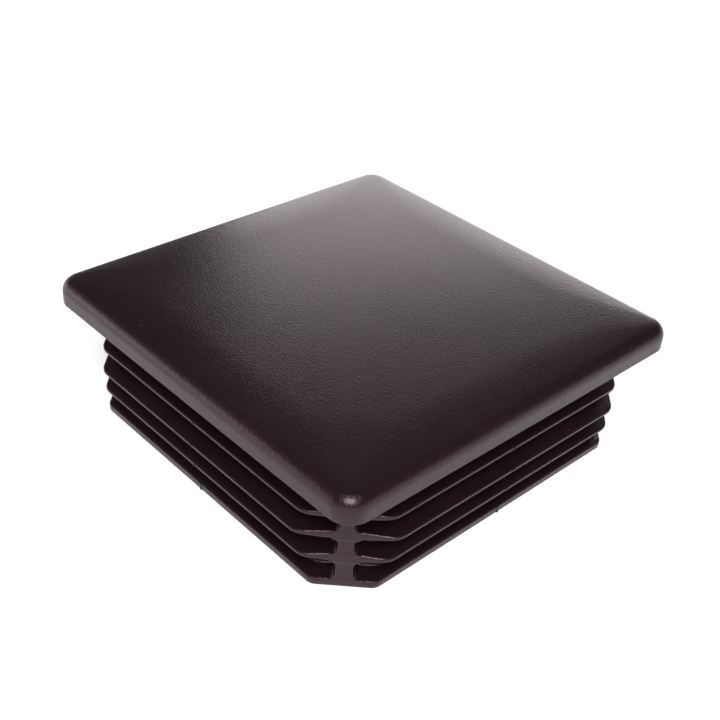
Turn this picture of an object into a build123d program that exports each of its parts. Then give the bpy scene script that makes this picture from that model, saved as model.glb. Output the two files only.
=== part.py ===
from build123d import *
from itertools import accumulate
from math import atan2, cos, degrees, radians, sin, sqrt, tan
import os

os.makedirs("parts", exist_ok=True)

# All sizes are in mm. The Z axis is the tube's axis, +Z points out of the tube,
# and Z = 0 is the plane where the head seats on the tube's end.

# Square tube that the cap closes
tube_side = 50.0
tube_wall = 1.5
tube_bore = tube_side - 2 * tube_wall

# Head: its sides lie flush with the outside of the tube, and its top is crowned.
# The crown starts where the rounded edge has its slope, and flattens inwards.
head_corner_radius = 2.6
head_edge_height = 3.0
head_edge_radius = 1.6
crown_slope = 8.0
crown_width = 5.5
crown_corner_radius = 8.0
crown_steps = 4
crown_inset = head_edge_radius * (1 - sin(radians(crown_slope)))
crown_base = head_edge_height - head_edge_radius * (1 - cos(radians(crown_slope)))
crown_rise = crown_width * tan(radians(crown_slope)) / 2
head_height = crown_base + crown_rise

# Fins, from the head down: distance below the seat or the fin above, squeeze
# against each wall of the bore, and bend radius on to the corner flats
fins = [
    (3.5, 0.25, 2.2),
    (2.6, 0.70, 2.2),
    (3.0, 0.20, 2.0),
]
fin_tip = 0.5
fin_root = 1.05
rim_bevel = 0.14
fin_depths = list(accumulate(distance for distance, squeeze, bend_radius in fins))

# Bottom ring: the stiff lead-in round the open end, smaller than the bore
ring_distance = 3.4
ring_height = 1.0
ring_clearance = 0.55
ring_bend_radius = 1.4
ring_side = tube_bore - 2 * ring_clearance
ring_depth = fin_depths[-1] + ring_distance

# Skirt: the square wall that stands inside the tube, open at the bottom
skirt_clearance = 2.1
skirt_bend_radius = 2.5
skirt_wall = 1.7
skirt_side = tube_bore - 2 * skirt_clearance
skirt_depth = ring_depth + ring_height / 2

# Corner flats: the 45 degree faces that clear the tube's corners and its weld
corner_relief = 4.1
corner_fin_reach = 2.3
corner_reach = tube_bore / sqrt(2) - corner_relief
skirt_corner_reach = corner_reach - corner_fin_reach

# Corner webs: the upright ribs that tie the fins together on each corner flat
web_top_width = 1.2
web_bottom_width = 2.0
web_flare_radius = 0.7
web_flare_land = 0.1

# Parting lines: fine upright beads where the mould's slides meet on each side
bead_width = 0.3
bead_height = 0.1

# Hollow inside the skirt, and the gate mark on its ceiling
head_wall = 2.4
hollow_draft = 1.0
hollow_bend_radius = 1.5
hollow_edge_radius = 0.8
hollow_ceiling = head_height - head_wall
gate_dish_radius = 2.0
gate_dish_depth = 0.3
gate_stub_radius = 0.6
gate_stub_height = 0.5

# Slack for picking edges and faces by their place or direction
slack = 0.001


def cut_square(side, reach, bend_radius):
    """Square outline whose corners are cut back to reach, with rounded bends."""
    outline = Rectangle(side, side) & Rot(0, 0, 45) * Rectangle(2 * reach, 2 * reach)
    return fillet(outline.vertices(), bend_radius)


def bevel_rim(plate):
    """Bevel the upper edges of the upright faces round a plate."""
    edges = []
    for face in plate.faces():
        if abs(face.normal_at(face.center()).Z) < slack:
            edges.append(face.edges().sort_by(Axis.Z)[-1])
    return chamfer(edges, rim_bevel)


def cross_bars(side, height):
    """Bars across both middles of a plate, whose ends are the parting beads."""
    reach = side + 2 * bead_height
    bars = Rectangle(reach, bead_width) + Rectangle(bead_width, reach)
    return extrude(bars, height / 2, both=True)


def head():
    """Square plate with rounded edges, under a crown that flattens inwards."""
    plate = extrude(RectangleRounded(tube_side, tube_side, head_corner_radius), head_edge_height)
    plate = fillet(plate.faces().sort_by(Axis.Z)[-1].edges(), head_edge_radius)
    plate = split(plate, Plane.XY.offset(crown_base), keep=Keep.BOTTOM)
    base_side = tube_side - 2 * crown_inset
    base_radius = head_corner_radius - crown_inset
    outlines = []
    for step in range(crown_steps + 1):
        share = step / crown_steps
        side = base_side - 2 * crown_width * share
        radius = base_radius + (crown_corner_radius - base_radius) * share
        height = crown_base + crown_rise * (1 - (1 - share) ** 2)
        outlines.append(Pos(0, 0, height) * RectangleRounded(side, side, radius))
    return plate + loft(outlines)


def skirt():
    """Core of the skirt, still solid, from the seat to the open end."""
    outline = cut_square(skirt_side, skirt_corner_reach, skirt_bend_radius)
    return extrude(Pos(0, 0, -skirt_depth) * outline, skirt_depth)


def fin(squeeze, bend_radius):
    """Plate that thins from the skirt to its rim, cut off at the corner flats."""
    side = tube_bore + 2 * squeeze
    thickening = (fin_root - fin_tip) / 2
    slope = degrees(atan2((side - skirt_side) / 2, thickening))
    half = extrude(Rectangle(side, side), fin_tip / 2)
    half += extrude(Pos(0, 0, fin_tip / 2) * Rectangle(side, side), thickening, taper=slope)
    half &= extrude(cut_square(side, corner_reach, bend_radius), fin_root)
    half = bevel_rim(half)
    return half + mirror(half, Plane.XY) + cross_bars(side, fin_tip)


def bottom_ring():
    """Stiff plate that ends the skirt."""
    half = bevel_rim(extrude(cut_square(ring_side, corner_reach, ring_bend_radius), ring_height / 2))
    ring = half + mirror(half, Plane.XY) + cross_bars(ring_side, ring_height)
    return Pos(0, 0, -ring_depth) * ring


def web_half_width(depth):
    """Half the width of a corner web at a depth below the seat."""
    return (web_top_width + (web_bottom_width - web_top_width) * depth / skirt_depth) / 2


def corner_web(turn):
    """Upright rib on the corner flat at turn degrees, flared into what it crosses."""
    top = web_half_width(0)
    bottom = web_half_width(skirt_depth)
    profile = Polygon((-bottom, -skirt_depth), (bottom, -skirt_depth), (top, 0), (-top, 0), align=None)
    crossed = [(0, hollow_ceiling), (-skirt_depth, ring_height - skirt_depth)]
    crossed += [(-depth - fin_root / 2, -depth + fin_root / 2) for depth in fin_depths]
    for low, high in crossed:
        half = web_half_width(-low) + web_flare_radius + web_flare_land
        profile += Pos(0, (low + high) / 2) * Rectangle(2 * half, high - low)
    flat = Plane(origin=(corner_reach, 0, 0), x_dir=(0, 1, 0), z_dir=(1, 0, 0))
    rib = extrude(flat * profile, -(corner_fin_reach + skirt_wall / 2))
    nooks = [edge for edge in rib.edges().filter_by(Axis.X) if abs(edge.center().Y) < bottom]
    nooks = [edge for edge in nooks if slack > edge.center().Z > ring_height - skirt_depth - slack]
    return Rot(0, 0, turn) * fillet(nooks, web_flare_radius)


def hollow():
    """Space inside the skirt, which narrows a little towards its ceiling."""
    side = skirt_side - 2 * skirt_wall
    outline = cut_square(side, skirt_corner_reach - skirt_wall, hollow_bend_radius)
    space = extrude(Pos(0, 0, -skirt_depth) * outline, skirt_depth + hollow_ceiling, taper=hollow_draft)
    return fillet(space.faces().sort_by(Axis.Z)[-1].edges(), hollow_edge_radius)


def gate_dish():
    """Shallow dish in the ceiling of the hollow, where the plastic was fed in."""
    return extrude(Pos(0, 0, hollow_ceiling) * Circle(gate_dish_radius), gate_dish_depth)


def gate_stub():
    """Broken-off end of the feed, standing in its dish."""
    return extrude(Pos(0, 0, hollow_ceiling + gate_dish_depth) * Circle(gate_stub_radius), -gate_stub_height)


def end_cap():
    """The whole cap, moulded in one piece."""
    body = head() + skirt() + bottom_ring()
    for depth, (distance, squeeze, bend_radius) in zip(fin_depths, fins):
        body += Pos(0, 0, -depth) * fin(squeeze, bend_radius)
    for turn in (45, 135, 225, 315):
        body += corner_web(turn)
    return body - hollow() - gate_dish() + gate_stub()


export_step(end_cap(), "parts/end_cap.step")
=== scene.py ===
"""Looks of a square ribbed tube end cap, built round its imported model.

The cap is moulded in one piece, so its parts are shaped one by one, fused into
one closed mesh and given one plastic. All sizes are in metres.
"""

from collections import namedtuple
from math import cos, pi, radians, sin, sqrt, tan

import bmesh
import bpy
from mathutils import Matrix, Quaternion, Vector


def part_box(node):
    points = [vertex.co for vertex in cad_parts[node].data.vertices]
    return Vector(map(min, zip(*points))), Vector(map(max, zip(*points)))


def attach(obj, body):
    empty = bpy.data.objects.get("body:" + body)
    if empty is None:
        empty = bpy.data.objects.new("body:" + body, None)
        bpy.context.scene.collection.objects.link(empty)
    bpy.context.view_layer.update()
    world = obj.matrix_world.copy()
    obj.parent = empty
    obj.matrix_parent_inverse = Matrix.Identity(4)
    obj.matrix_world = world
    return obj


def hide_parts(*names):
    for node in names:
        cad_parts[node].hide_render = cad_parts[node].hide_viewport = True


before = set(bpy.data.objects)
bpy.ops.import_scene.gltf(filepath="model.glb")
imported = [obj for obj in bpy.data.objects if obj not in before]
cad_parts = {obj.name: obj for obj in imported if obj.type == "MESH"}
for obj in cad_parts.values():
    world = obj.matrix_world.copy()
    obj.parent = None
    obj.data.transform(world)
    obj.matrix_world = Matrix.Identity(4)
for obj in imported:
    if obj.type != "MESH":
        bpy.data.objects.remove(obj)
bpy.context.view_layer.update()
MM = 0.001

# ---------------------------------------------------------------- sizes

# From the imported model: Z = 0 is the underside of the head, which seats on the tube
low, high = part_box("end_cap")
head_half = high.x
head_height = high.z
skirt_depth = -low.z

# Head: a flat side, a rounded edge and a crown that starts at its slope and flattens inwards
head_corner = 2.6 * MM
head_flat = 1.4 * MM
head_edge = 1.6 * MM
head_lower_edge = 0.12 * MM
crown_slope = radians(8)
crown_width = 5.5 * MM
crown_corner = 10.0 * MM

# Skirt and its hollow
skirt_half = 21.4 * MM
skirt_reach = 26.83 * MM
skirt_bend = 2.5 * MM
skirt_wall = 1.7 * MM
hollow_draft = radians(1)
hollow_ceiling = head_height - 2.4 * MM
hollow_bend = 1.5 * MM
hollow_edge = 0.8 * MM
root_fillet = 0.25 * MM
root_sink = 0.01 * MM
lip_edge = 0.15 * MM

# Gate mark in the middle of the hollow's ceiling: a dish with a broken-off stub
dish_radius = 2.0 * MM
dish_floor_radius = 1.8 * MM
dish_depth = 0.3 * MM
stub_foot_radius = 0.78 * MM
stub_radius = 0.6 * MM
stub_tip_radius = 0.48 * MM
stub_height = 0.5 * MM
stub_tip_height = 0.05 * MM

# Fins and the bottom ring, from the head down. Depth is that of the rim's middle below the head.
Plate = namedtuple("Plate", "name depth half bend height")
fin_rim = 0.4 * MM
fin_root = 1.05 * MM
ring_height = 1.0 * MM
fins = [
    Plate("upper_fin", 3.5 * MM, 23.75 * MM, 2.2 * MM, fin_rim),
    Plate("middle_fin", 6.1 * MM, 24.2 * MM, 2.2 * MM, fin_rim),
    Plate("lower_fin", 9.1 * MM, 23.7 * MM, 2.0 * MM, fin_rim),
]
bottom_ring = Plate("bottom_ring", 12.5 * MM, 22.95 * MM, 1.4 * MM, ring_height)
plates = [*fins, bottom_ring]

# Their rims: how far the corner flats stand from the axis, how high the rounding of an edge is,
# how many times longer than high it is, how deep a fin is set in, and the steps along it
corner_reach = 29.13 * MM
rim_edge = 0.195 * MM
rim_nose = 2.3
fin_embed = 0.3 * MM
fin_step = 0.5 * MM

# Corner webs: their widths, the flare into each plate, how far one reaches in from the corner
# flats, and how far it stands out of them
web_top = 1.2 * MM
web_bottom = 2.0 * MM
web_flare = 0.7 * MM
web_reach = 2.9 * MM
web_edge = 0.14 * MM
web_proud = 0.01 * MM
web_embed = 0.5 * MM
web_steps = 260
web_facets = 5

# Parting beads: their radius, and how far they stand out of the rims
bead_radius = 0.15 * MM
bead_proud = 0.1 * MM
bead_facets = 20


# ---------------------------------------------------------------- node graphs

class Value:
    """One socket in a node graph. Python's arithmetic on it adds Math nodes."""

    def __init__(self, graph, socket):
        self.graph = graph
        self.socket = socket

    def other(self, name):
        """Another output of the same node."""
        return Value(self.graph, self.socket.node.outputs[name])

    def __add__(self, other):
        return self.graph.math("ADD", self, other)

    def __radd__(self, other):
        return self.graph.math("ADD", other, self)

    def __sub__(self, other):
        return self.graph.math("SUBTRACT", self, other)

    def __rsub__(self, other):
        return self.graph.math("SUBTRACT", other, self)

    def __mul__(self, other):
        return self.graph.math("MULTIPLY", self, other)

    def __rmul__(self, other):
        return self.graph.math("MULTIPLY", other, self)

    def __truediv__(self, other):
        return self.graph.math("DIVIDE", self, other)


class Graph:
    """Adds nodes to one node tree, of a material or of geometry."""

    def __init__(self, tree):
        self.tree = tree

    def node(self, kind, settings=(), sockets=(), out=0):
        """Add a node: first its settings, then the values or links of its sockets."""
        made = self.tree.nodes.new(kind)
        for name, value in dict(settings).items():
            setattr(made, name, value)
        for name, value in dict(sockets).items():
            if isinstance(value, Value):
                self.tree.links.new(value.socket, made.inputs[name])
            else:
                made.inputs[name].default_value = value
        return Value(self, made.outputs[out]) if made.outputs else made

    def math(self, operation, *values):
        """A Math node on values or sockets."""
        return self.node("ShaderNodeMath", {"operation": operation}, dict(enumerate(values)))


def shape_tree(name, sizes):
    """A geometry tree with named inputs for its sizes. Gives the graph and the inputs."""
    tree = bpy.data.node_groups.new(name, "GeometryNodeTree")
    tree.interface.new_socket("Geometry", in_out="OUTPUT", socket_type="NodeSocketGeometry")
    for size in sizes:
        tree.interface.new_socket(size, in_out="INPUT", socket_type="NodeSocketFloat")
    tree.interface.new_socket("Material", in_out="INPUT", socket_type="NodeSocketMaterial")
    graph = Graph(tree)
    first = graph.node("NodeGroupInput")
    return graph, {name: first.other(name) for name in [*sizes, "Material"]}


def finish_tree(graph, geometry, material):
    """End a geometry tree with real geometry that has its material."""
    real = graph.node("GeometryNodeRealizeInstances", sockets={"Geometry": geometry})
    done = graph.node("GeometryNodeSetMaterial", sockets={"Geometry": real, "Material": material})
    graph.node("NodeGroupOutput", sockets={"Geometry": done})
    return graph.tree


def run_tree(tree, name, sizes):
    """Run a geometry tree with these sizes and keep the result as a plain mesh object."""
    holder = bpy.data.objects.new(name, bpy.data.meshes.new(name))
    bpy.context.scene.collection.objects.link(holder)
    modifier = holder.modifiers.new(tree.name, "NODES")
    modifier.node_group = tree
    for socket in tree.interface.items_tree:
        if socket.in_out == "INPUT":
            modifier[socket.identifier] = sizes[socket.name]
    seen = holder.evaluated_get(bpy.context.evaluated_depsgraph_get())
    mesh = bpy.data.meshes.new_from_object(seen)
    holder.modifiers.remove(modifier)
    holder.data = mesh
    mesh.name = name
    return holder


# ---------------------------------------------------------------- fins

bend_facets = 16
nose_facets = 4
side_cuts = 3
weld = MM / 1000


def fin_tree():
    """A closed band swept round a square with cut corners, thicker towards its root."""
    names = ["Half Side", "Corner Reach", "Bend Radius", "Rim Height", "Root Height",
             "Root Half Side", "Inset", "Edge Radius", "Nose", "Depth", "Spacing"]
    g, size = shape_tree("cut square band", names)
    half = size["Half Side"]

    # Eight corners of the cut square: the far coordinate is the side, the near one the cut
    ring = g.node("GeometryNodeCurvePrimitiveCircle", {"mode": "RADIUS"}, {
        "Resolution": 8, "Radius": 1.0})
    octagon = g.node("GeometryNodeTransform", sockets={
        "Geometry": ring, "Rotation": (0, 0, pi / 8)})
    place = g.node("ShaderNodeSeparateXYZ", sockets={0: g.node("GeometryNodeInputPosition")})
    across, along = place, place.other("Y")
    near = size["Corner Reach"] * sqrt(2) - half
    is_side = g.math("GREATER_THAN", g.math("ABSOLUTE", across), g.math("ABSOLUTE", along))
    x = g.math("SIGN", across) * (near + (half - near) * is_side)
    y = g.math("SIGN", along) * (half + (near - half) * is_side)
    corners = g.node("GeometryNodeSetPosition", sockets={
        "Geometry": octagon, "Position": g.node("ShaderNodeCombineXYZ", sockets={"X": x, "Y": y})})
    bent = g.node("GeometryNodeFilletCurve", {"mode": "POLY"}, {
        "Curve": corners, "Radius": size["Bend Radius"], "Count": bend_facets})
    even = g.node("GeometryNodeResampleCurve", {"mode": "LENGTH"}, {
        "Curve": bent, "Length": size["Spacing"]})
    path = g.node("GeometryNodeSetCurveNormal", {"mode": "Z_UP"}, {"Curve": even})

    # Section of the band, with its rim at the path and edges rounded to a long nose
    block = g.node("GeometryNodeCurvePrimitiveQuadrilateral", {"mode": "RECTANGLE"}, {
        "Width": size["Inset"] / size["Nose"], "Height": size["Rim Height"]})
    cut = g.node("GeometryNodeSubdivideCurve", sockets={"Curve": block, "Cuts": side_cuts})
    rounded = g.node("GeometryNodeFilletCurve", {"mode": "POLY"}, {
        "Curve": cut, "Radius": size["Edge Radius"], "Count": nose_facets, "Limit Radius": True})
    shift = g.node("ShaderNodeCombineXYZ", sockets={"X": size["Inset"] / -2})
    stretch = g.node("ShaderNodeCombineXYZ", sockets={"X": size["Nose"], "Y": 1.0, "Z": 1.0})
    section = g.node("GeometryNodeTransform", sockets={
        "Geometry": rounded, "Translation": shift, "Scale": stretch})
    swept = g.node("GeometryNodeCurveToMesh", sockets={"Curve": path, "Profile Curve": section})
    band = g.node("GeometryNodeMergeByDistance", sockets={"Geometry": swept, "Distance": weld})

    # Thicken towards the root, by how far in from the side a point lies
    place = g.node("ShaderNodeSeparateXYZ", sockets={0: g.node("GeometryNodeInputPosition")})
    farthest = g.math("MAXIMUM", g.math("ABSOLUTE", place), g.math("ABSOLUTE", place.other("Y")))
    inward = half - farthest
    share = g.math("MINIMUM", inward / (half - size["Root Half Side"]), 1.0)
    growth = size["Root Height"] / size["Rim Height"] - 1
    height = place.other("Z") * (1 + growth * g.math("MAXIMUM", share, 0.0)) - size["Depth"]
    lifted = g.node("ShaderNodeCombineXYZ", sockets={"X": place, "Y": place.other("Y"), "Z": height})
    fin = g.node("GeometryNodeSetPosition", sockets={"Geometry": band, "Position": lifted})
    return finish_tree(g, fin, size["Material"])


def make_fins(material):
    """The three fins."""
    tree = fin_tree()
    made = []
    for fin in fins:
        made.append(run_tree(tree, fin.name, {
            "Half Side": fin.half, "Corner Reach": corner_reach, "Bend Radius": fin.bend,
            "Rim Height": fin.height, "Root Height": fin_root, "Root Half Side": skirt_half,
            "Inset": max(fin.half - skirt_half, corner_reach - skirt_reach) + fin_embed,
            "Edge Radius": rim_edge, "Nose": rim_nose, "Depth": fin.depth, "Spacing": fin_step,
            "Material": material}))
    return made


# ---------------------------------------------------------------- corner webs

def web_tree():
    """An upright rib that widens downwards and flares into each plate, at four corners."""
    depths = [f"Depth {plate.name}" for plate in plates]
    names = ["Corner Reach", "Reach", "Top Width", "Bottom Width", "Skirt Depth", "Flare",
             "Edge Radius", "Plate Half Height", "Embed", *depths]
    g, size = shape_tree("corner webs", names)

    top = g.node("ShaderNodeCombineXYZ", sockets={"Z": size["Embed"]})
    bottom = g.node("ShaderNodeCombineXYZ", sockets={"Z": 0 - size[depths[-1]]})
    line = g.node("GeometryNodeCurvePrimitiveLine", {"mode": "POINTS"}, {"Start": bottom, "End": top})
    path = g.node("GeometryNodeResampleCurve", {"mode": "COUNT"}, {"Curve": line, "Count": web_steps})
    block = g.node("GeometryNodeCurvePrimitiveQuadrilateral", {"mode": "RECTANGLE"}, {
        "Width": size["Reach"], "Height": size["Top Width"]})
    section = g.node("GeometryNodeFilletCurve", {"mode": "POLY"}, {
        "Curve": block, "Radius": size["Edge Radius"], "Count": web_facets, "Limit Radius": True})
    rib = g.node("GeometryNodeCurveToMesh", sockets={
        "Curve": path, "Profile Curve": section, "Fill Caps": True})

    # Widen each level: a straight taper, and a round flare near the head and each plate
    place = g.node("ShaderNodeSeparateXYZ", sockets={0: g.node("GeometryNodeInputPosition")})
    across, level = place.other("Y"), place.other("Z")
    nearness = 1 + level / size["Flare"]
    for depth in depths:
        gap = g.math("ABSOLUTE", level + size[depth]) - size["Plate Half Height"]
        nearness = g.math("MAXIMUM", nearness, 1 - gap / size["Flare"])
    nearness = g.node("ShaderNodeClamp", sockets={"Value": nearness})
    flare = size["Flare"] * (1 - g.math("SQRT", 1 - nearness * nearness))
    taper = (size["Bottom Width"] - size["Top Width"]) / 2 * (0 - level / size["Skirt Depth"])
    widened = across + g.math("SIGN", across) * (flare + taper)
    out = place + size["Corner Reach"] - size["Reach"] / 2
    shaped = g.node("GeometryNodeSetPosition", sockets={
        "Geometry": rib,
        "Position": g.node("ShaderNodeCombineXYZ", sockets={"X": out, "Y": widened, "Z": level})})

    # One on each corner
    spots = g.node("GeometryNodePoints", sockets={"Count": 4})
    turn = g.node("ShaderNodeCombineXYZ", sockets={
        "Z": g.node("GeometryNodeInputIndex") * (pi / 2) + pi / 4})
    webs = g.node("GeometryNodeInstanceOnPoints", sockets={
        "Points": spots, "Instance": shaped, "Rotation": turn})
    return finish_tree(g, webs, size["Material"])


def make_webs(material):
    """The upright rib in the middle of each corner flat."""
    depths = {f"Depth {plate.name}": plate.depth for plate in plates}
    return run_tree(web_tree(), "corner_webs", {
        "Corner Reach": corner_reach + web_proud, "Reach": web_reach, "Top Width": web_top,
        "Bottom Width": web_bottom, "Skirt Depth": skirt_depth, "Flare": web_flare,
        "Edge Radius": web_edge, "Plate Half Height": fin_root / 2, "Embed": web_embed,
        "Material": material, **depths})


# ---------------------------------------------------------------- parting beads

def bead_tree():
    """A fine upright bead in the middle of each side of a plate."""
    g, size = shape_tree("parting beads", ["Half Side", "Height", "Radius", "Proud", "Depth"])
    bead = g.node("GeometryNodeMeshCylinder", sockets={
        "Vertices": bead_facets, "Radius": size["Radius"], "Depth": size["Height"]})
    spots = g.node("GeometryNodeMeshCircle", sockets={
        "Vertices": 4, "Radius": size["Half Side"] + size["Proud"] - size["Radius"]})
    beads = g.node("GeometryNodeInstanceOnPoints", sockets={"Points": spots, "Instance": bead})
    drop = g.node("ShaderNodeCombineXYZ", sockets={"Z": 0 - size["Depth"]})
    lowered = g.node("GeometryNodeTransform", sockets={"Geometry": beads, "Translation": drop})
    return finish_tree(g, lowered, size["Material"])


def make_beads(material):
    """The beads where the mould's slides meet, one set for each fin and the ring."""
    tree = bead_tree()
    made = []
    for plate in plates:
        made.append(run_tree(tree, plate.name + "_beads", {
            "Half Side": plate.half, "Height": plate.height - rim_edge, "Radius": bead_radius,
            "Proud": bead_proud, "Depth": plate.depth, "Material": material}))
    return made


# ---------------------------------------------------------------- head and skirt

# Points along each stretch of a quarter ring: half a side, a bend and a corner flat
side_steps = 14
bend_steps = 7
flat_steps = 10
quarter_steps = 2 * side_steps + 2 * bend_steps + flat_steps

# Rings over the crown, round the head's edge, over a small rounding and over the ceiling's edge
crown_rings = 12
edge_rings = 10
small_rings = 4
ceiling_rings = 8
doubles = MM / 10000


def turned(quarter, z):
    """A closed ring of points from those of a quarter, which starts at the middle of a side."""
    ring = []
    for turn in range(4):
        spin = Matrix.Rotation(turn * pi / 2, 2)
        ring += [Vector((*(spin @ Vector(point)), z)) for point in quarter]
    return ring


def steps(start, end, count):
    """Points from start towards end, without end itself."""
    return [start + (end - start) * i / count for i in range(count)]


def arc(centre, radius, start, end, count):
    """Points on an arc, without its end."""
    angles = [start + (end - start) * i / count for i in range(count)]
    return [centre + radius * Vector((cos(a), sin(a))) for a in angles]


def rounded_square(half, radius, z):
    """Ring round a square with rounded corners."""
    straight = half - radius
    corner = Vector((straight, straight))
    quarter = steps(Vector((half, 0)), Vector((half, straight)), side_steps)
    quarter += arc(corner, radius, 0, pi / 2, 2 * bend_steps + flat_steps)
    quarter += steps(Vector((straight, half)), Vector((0, half)), side_steps)
    return turned(quarter, z)


def cut_square(half, reach, bend, z):
    """Ring round a square whose corners are cut back to reach, with rounded bends."""
    straight = reach * sqrt(2) - half - bend * tan(pi / 8)
    near = Vector((half - bend, straight))
    far = Vector((straight, half - bend))
    slant = bend * Vector((cos(pi / 4), sin(pi / 4)))
    quarter = steps(Vector((half, 0)), Vector((half, straight)), side_steps)
    quarter += arc(near, bend, 0, pi / 4, bend_steps)
    quarter += steps(near + slant, far + slant, flat_steps)
    quarter += arc(far, bend, pi / 4, pi / 2, bend_steps)
    quarter += steps(Vector((straight, half)), Vector((0, half)), side_steps)
    return turned(quarter, z)


def circle(radius, z):
    """Ring round a circle."""
    return turned(arc(Vector((0, 0)), radius, 0, pi / 2, quarter_steps), z)


def quarter_turn(count):
    """Angles from 0 to a right angle."""
    return [pi / 2 * i / count for i in range(count + 1)]


def head_rings():
    """Rings from the flat middle of the top, over the crown and the edge, to the seat."""
    inset = head_edge * (1 - sin(crown_slope))
    base = head_flat + head_edge * cos(crown_slope)
    rings = []
    for i in range(crown_rings + 1):
        share = 1 - i / crown_rings
        half = head_half - inset - crown_width * share
        radius = head_corner - inset + (crown_corner - head_corner + inset) * share
        z = base + (head_height - base) * (1 - (1 - share) ** 2)
        rings.append(rounded_square(half, radius, z))
    for i in range(1, edge_rings + 1):
        angle = (pi / 2 - crown_slope) * i / edge_rings + crown_slope
        inset = head_edge * (1 - sin(angle))
        z = head_flat + head_edge * cos(angle)
        rings.append(rounded_square(head_half - inset, head_corner - inset, z))
    for angle in quarter_turn(small_rings):
        inset = head_lower_edge * (1 - cos(angle))
        z = head_lower_edge * (1 - sin(angle))
        rings.append(rounded_square(head_half - inset, head_corner - inset, z))
    return rings


def skirt_ring(grow, z):
    """Ring round the outside of the skirt, grown by a little."""
    return cut_square(skirt_half + grow, skirt_reach + grow, skirt_bend + grow, z)


def skirt_rings():
    """Rings down the outside of the skirt, with a small fillet at the root of each plate."""
    half_root = fin_root / 2 - root_sink
    ceilings = [0, *(-half_root - fin.depth for fin in fins)]
    floors = [*(half_root - fin.depth for fin in fins), ring_height / 2 - bottom_ring.depth]
    rings = []
    for ceiling, floor in zip(ceilings, floors):
        for angle in quarter_turn(small_rings):
            z = ceiling - root_fillet * (1 - cos(angle))
            rings.append(skirt_ring(root_fillet * (1 - sin(angle)), z))
        for angle in reversed(quarter_turn(small_rings)):
            z = floor + root_fillet * (1 - cos(angle))
            rings.append(skirt_ring(root_fillet * (1 - sin(angle)), z))
    return rings


def bottom_ring_rings():
    """Rings out over the top of the bottom ring, round its rim and in under it."""
    angles = quarter_turn(small_rings)
    top = ring_height / 2 - bottom_ring.depth
    under = -ring_height / 2 - bottom_ring.depth
    levels = [(angle, top - rim_edge * (1 - cos(angle))) for angle in angles]
    levels += [(angle, under + rim_edge * (1 - cos(angle))) for angle in reversed(angles)]
    rings = []
    for angle, z in levels:
        inset = rim_nose * rim_edge * (1 - sin(angle))
        half = bottom_ring.half - inset
        rings.append(cut_square(half, corner_reach - inset, bottom_ring.bend - inset, z))
    return rings


def hollow_ring(shrink, z):
    """Ring round the hollow, which its draft narrows towards the ceiling."""
    shrink += (z + skirt_depth) * tan(hollow_draft)
    half = skirt_half - skirt_wall - shrink
    return cut_square(half, skirt_reach - skirt_wall - shrink, hollow_bend - shrink / 2, z)


def hollow_rings():
    """Rings from the lip up the inside of the skirt and over the ceiling to the gate mark."""
    rings = []
    for angle in quarter_turn(small_rings):
        z = lip_edge * (1 - cos(angle)) - skirt_depth
        rings.append(hollow_ring(lip_edge * (sin(angle) - 1), z))
    for angle in quarter_turn(ceiling_rings):
        z = hollow_ceiling - hollow_edge * (1 - sin(angle))
        rings.append(hollow_ring(hollow_edge * (1 - cos(angle)), z))
    dish_floor = hollow_ceiling + dish_depth
    rings.append(circle(dish_radius, hollow_ceiling))
    rings.append(circle(dish_floor_radius, dish_floor))
    rings.append(circle(stub_foot_radius, dish_floor))
    rings.append(circle(stub_radius, dish_floor - stub_height + stub_tip_height))
    rings.append(circle(stub_tip_radius, dish_floor - stub_height))
    return rings


def skin(name, rings, material):
    """A closed mesh through rings of equally many points, with its first and last ring filled."""
    bm = bmesh.new()
    rows = [[bm.verts.new(point) for point in ring] for ring in rings]
    for upper, lower in zip(rows, rows[1:]):
        for i, corner in enumerate(upper):
            bm.faces.new((corner, lower[i], lower[i - 1], upper[i - 1]))
    bm.faces.new(rows[0])
    bm.faces.new(rows[-1][::-1])
    bmesh.ops.remove_doubles(bm, verts=bm.verts, dist=doubles)
    bmesh.ops.recalc_face_normals(bm, faces=bm.faces)
    mesh = bpy.data.meshes.new(name)
    bm.to_mesh(mesh)
    bm.free()
    mesh.materials.append(material)
    made = bpy.data.objects.new(name, mesh)
    bpy.context.scene.collection.objects.link(made)
    return made


def make_shell(material):
    """The head and the skirt with its bottom ring and its hollow."""
    rings = head_rings() + skirt_rings() + bottom_ring_rings() + hollow_rings()
    return skin("head_and_skirt", rings, material)


# ---------------------------------------------------------------- one moulding

crisp_angle = radians(28)


def keep_result(body):
    """Replace an object's modifiers by their result."""
    seen = body.evaluated_get(bpy.context.evaluated_depsgraph_get())
    mesh = bpy.data.meshes.new_from_object(seen)
    body.modifiers.clear()
    body.data = mesh


def fuse(body, parts):
    """Join parts to body as one closed mesh without inner walls."""
    for part in parts:
        union = body.modifiers.new(part.name, "BOOLEAN")
        union.operation = "UNION"
        union.solver = "MANIFOLD"
        union.object = part
    keep_result(body)
    for part in parts:
        bpy.data.objects.remove(part)
    return body


def smooth(body):
    """Shade rounded faces smoothly, keep corners crisp, and weight normals by the larger faces."""
    body.data.shade_smooth()
    body.data.set_sharp_from_angle(angle=crisp_angle)
    even = body.modifiers.new("even shading", "WEIGHTED_NORMAL")
    even.keep_sharp = True
    keep_result(body)


def make_cap(material):
    """The whole cap as one moulding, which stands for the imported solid."""
    added = [*make_fins(material), make_webs(material), *make_beads(material)]
    cap = fuse(make_shell(material), added)
    cap.name = "moulded_cap"
    smooth(cap)
    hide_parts("end_cap")
    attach(cap, "root")
    return cap


# ---------------------------------------------------------------- plastic

# Sizes of the pattern
grain_size = 0.24 * MM
grain_depth = 0.042 * MM
pebble_size = 0.45 * MM
pebble_share = 0.15
cloud_size = 9 * MM
speck_spacing = 1.7 * MM
speck_radius = 0.07 * MM

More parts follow.
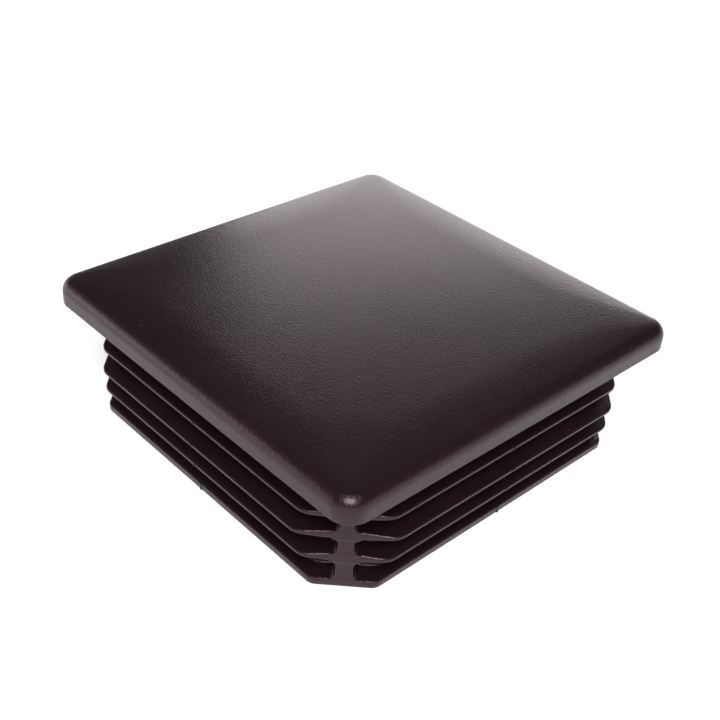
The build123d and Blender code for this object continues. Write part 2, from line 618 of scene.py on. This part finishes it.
# Colours, and how strongly the clouds and the grain mix the two blacks
black = (0.010, 0.0045, 0.006, 1)
worn_black = (0.015, 0.007, 0.0095, 1)
dust = (0.16, 0.15, 0.15, 1)
cloud_contrast = 1.6
grain_contrast = 0.8

# Gloss: the roughness of clean plastic and what clouds, grain and dust add to it
clean_roughness = 0.22
cloud_roughness = 0.06
grain_roughness = 0.12
dust_roughness = 0.2
plastic_ior = 1.5
warm_gloss = (1.0, 0.71, 0.83, 1)


def moulded_plastic():
    """Near-black moulded plastic: a fine satin grain, faint flow clouds and a few dust specks."""
    material = bpy.data.materials.new("moulded_plastic")
    material.use_nodes = True
    material.node_tree.nodes.clear()
    g = Graph(material.node_tree)
    place = g.node("ShaderNodeTexCoord", out="Object")

    def noise(size, detail):
        return g.node("ShaderNodeTexNoise", sockets={
            "Vector": place, "Scale": 1 / size, "Detail": detail})

    def cells(size):
        return g.node("ShaderNodeTexVoronoi", sockets={"Vector": place, "Scale": 1 / size})

    # A Mix node has its colours at inputs 6 and 7 and at output 2
    def mixed(factor, first, second):
        return g.node("ShaderNodeMix", {"data_type": "RGBA"}, {
            "Factor": factor, 6: first, 7: second}, out=2)

    clouds = noise(cloud_size, 3)
    grain = noise(grain_size, 2)
    pebbles = cells(pebble_size)
    speck = cells(speck_spacing)

    # Each speck has its own size, from the colour of its cell
    chance = g.node("ShaderNodeSeparateColor", sockets={"Color": speck.other("Color")})
    dusty = g.math("LESS_THAN", speck, speck_radius / speck_spacing * chance)

    worn = (clouds - 0.5) * cloud_contrast + 0.5 + (grain - 0.5) * grain_contrast
    clean = mixed(g.node("ShaderNodeClamp", sockets={"Value": worn}), black, worn_black)
    relief = grain * (1 - pebble_share) + pebbles * pebble_share
    roughness = clean_roughness + clouds * cloud_roughness + grain * grain_roughness
    shader = g.node("ShaderNodeBsdfPrincipled", sockets={
        "Base Color": mixed(dusty, clean, dust),
        "Roughness": roughness + dusty * dust_roughness,
        "IOR": plastic_ior,
        "Specular Tint": warm_gloss,
        "Normal": g.node("ShaderNodeBump", sockets={
            "Strength": 1.0, "Distance": grain_depth, "Height": relief})})
    g.node("ShaderNodeOutputMaterial", sockets={"Surface": shader})
    return material


# ---------------------------------------------------------------- studio

# Camera: its place round the cap and its tilt in degrees, its distance, how far it stands to the
# right of and above the line to the cap's origin, and its lens in millimetres
camera_azimuth = 44.75
camera_elevation = 34.37
camera_tilt = 4.55
camera_distance = 129.7 * MM
camera_right = -0.3 * MM
camera_up = -4.42 * MM
camera_lens = 56.58
camera_film = 36

# Lights: name, azimuth, elevation, distance, width, height, level and lean
lights = [
    ("key", 48, 50, 2.0, 1.15, 1.15, 12.0, 0),
    ("back_light", 212, 11.4, 0.068, 0.088, 0.04, 2.6, 18),
    ("left_light", 305, 7, 0.5, 0.4, 0.2, 2.0, 0),
]

# Floor: its colour, half its side, and what lifts it to white where it is seen
floor_colour = (0.8, 0.8, 0.8, 1)
floor_reach = 0.8
floor_lift = 0.4

# World: its level, and the heights, as the Z of a direction, where its white horizon starts to fade
# and has faded
white = (1, 1, 1, 1)
world_level = 0.09
horizon_top = 0.03
sky_bottom = 0.17


def heading(azimuth, elevation):
    """Direction from the cap. Azimuth 0 is towards -Y and 90 towards +X; both are in degrees."""
    a, e = radians(azimuth), radians(elevation)
    return Vector((sin(a) * cos(e), -cos(a) * cos(e), sin(e)))


def make_camera():
    """The camera, above the corner between the -Y and +X sides."""
    back = heading(camera_azimuth, camera_elevation)
    level = Vector((0, 0, 1)).cross(back).normalized()
    tilt = Matrix.Rotation(radians(camera_tilt), 3, back)
    right = tilt @ level
    up = tilt @ back.cross(level)
    data = bpy.data.cameras.new("camera")
    data.lens = camera_lens
    data.sensor_width = camera_film
    data.clip_start = 0.01
    camera = bpy.data.objects.new("camera", data)
    camera.matrix_world = Matrix((right, up, back)).transposed().to_4x4()
    camera.location = back * camera_distance + right * camera_right + up * camera_up
    bpy.context.scene.collection.objects.link(camera)
    bpy.context.scene.camera = camera


def softbox(name, azimuth, elevation, distance, width, height, level, lean):
    """An even panel of light that faces the cap.

    At a level of 1 its own face looks white. Lean turns it in its plane, in degrees.
    """
    data = bpy.data.lights.new(name, "AREA")
    data.shape = "RECTANGLE"
    data.size = width
    data.size_y = height
    data.energy = level * pi * width * height
    lamp = bpy.data.objects.new(name, data)
    back = heading(azimuth, elevation)
    facing = back.to_track_quat("Z", "Y") @ Quaternion((0, 0, 1), radians(lean))
    lamp.rotation_euler = facing.to_euler()
    lamp.location = back * distance
    lamp.visible_camera = False
    bpy.context.scene.collection.objects.link(lamp)


def background_rays(g):
    """1 for the rays that show the background: straight, mirrored or through glass."""
    straight = g.node("ShaderNodeLightPath", out="Is Camera Ray")
    mirrored = straight.other("Is Glossy Ray")
    refracted = straight.other("Is Transmission Ray")
    return g.math("MAXIMUM", straight, g.math("MAXIMUM", mirrored, refracted))


def make_floor():
    """A plain white floor under the cap, which keeps its shadow."""
    material = bpy.data.materials.new("floor")
    material.use_nodes = True
    material.node_tree.nodes.clear()
    g = Graph(material.node_tree)
    paper = g.node("ShaderNodeBsdfDiffuse", sockets={"Color": floor_colour})
    lift = g.node("ShaderNodeEmission", sockets={
        "Color": white, "Strength": floor_lift * background_rays(g)})
    both = g.node("ShaderNodeAddShader", sockets={0: paper, 1: lift})
    g.node("ShaderNodeOutputMaterial", sockets={"Surface": both})
    mesh = bpy.data.meshes.new("floor")
    signs = [(-1, -1), (1, -1), (1, 1), (-1, 1)]
    corners = [(x * floor_reach, y * floor_reach, low.z) for x, y in signs]
    mesh.from_pydata(corners, [], [(0, 1, 2, 3)])
    mesh.materials.append(material)
    floor = bpy.data.objects.new("floor", mesh)
    bpy.context.scene.collection.objects.link(floor)


def make_world():
    """Dim, even light from all round, behind a horizon as white as the floor."""
    world = bpy.data.worlds.new("studio")
    world.use_nodes = True
    world.node_tree.nodes.clear()
    g = Graph(world.node_tree)
    direction = g.node("ShaderNodeTexCoord", out="Generated")
    height = g.node("ShaderNodeSeparateXYZ", sockets={0: direction}, out="Z")
    horizon = g.node("ShaderNodeMapRange", {"interpolation_type": "SMOOTHSTEP"}, {
        "Value": height, "From Min": horizon_top, "From Max": sky_bottom,
        "To Min": 1 - world_level, "To Max": 0.0})
    light = g.node("ShaderNodeBackground", sockets={
        "Color": white, "Strength": world_level + horizon * background_rays(g)})
    g.node("ShaderNodeOutputWorld", sockets={"Surface": light})
    bpy.context.scene.world = world


make_cap(moulded_plastic())
make_camera()
make_floor()
make_world()
for light in lights:
    softbox(*light)
bpy.context.scene.view_settings.view_transform = "Standard"
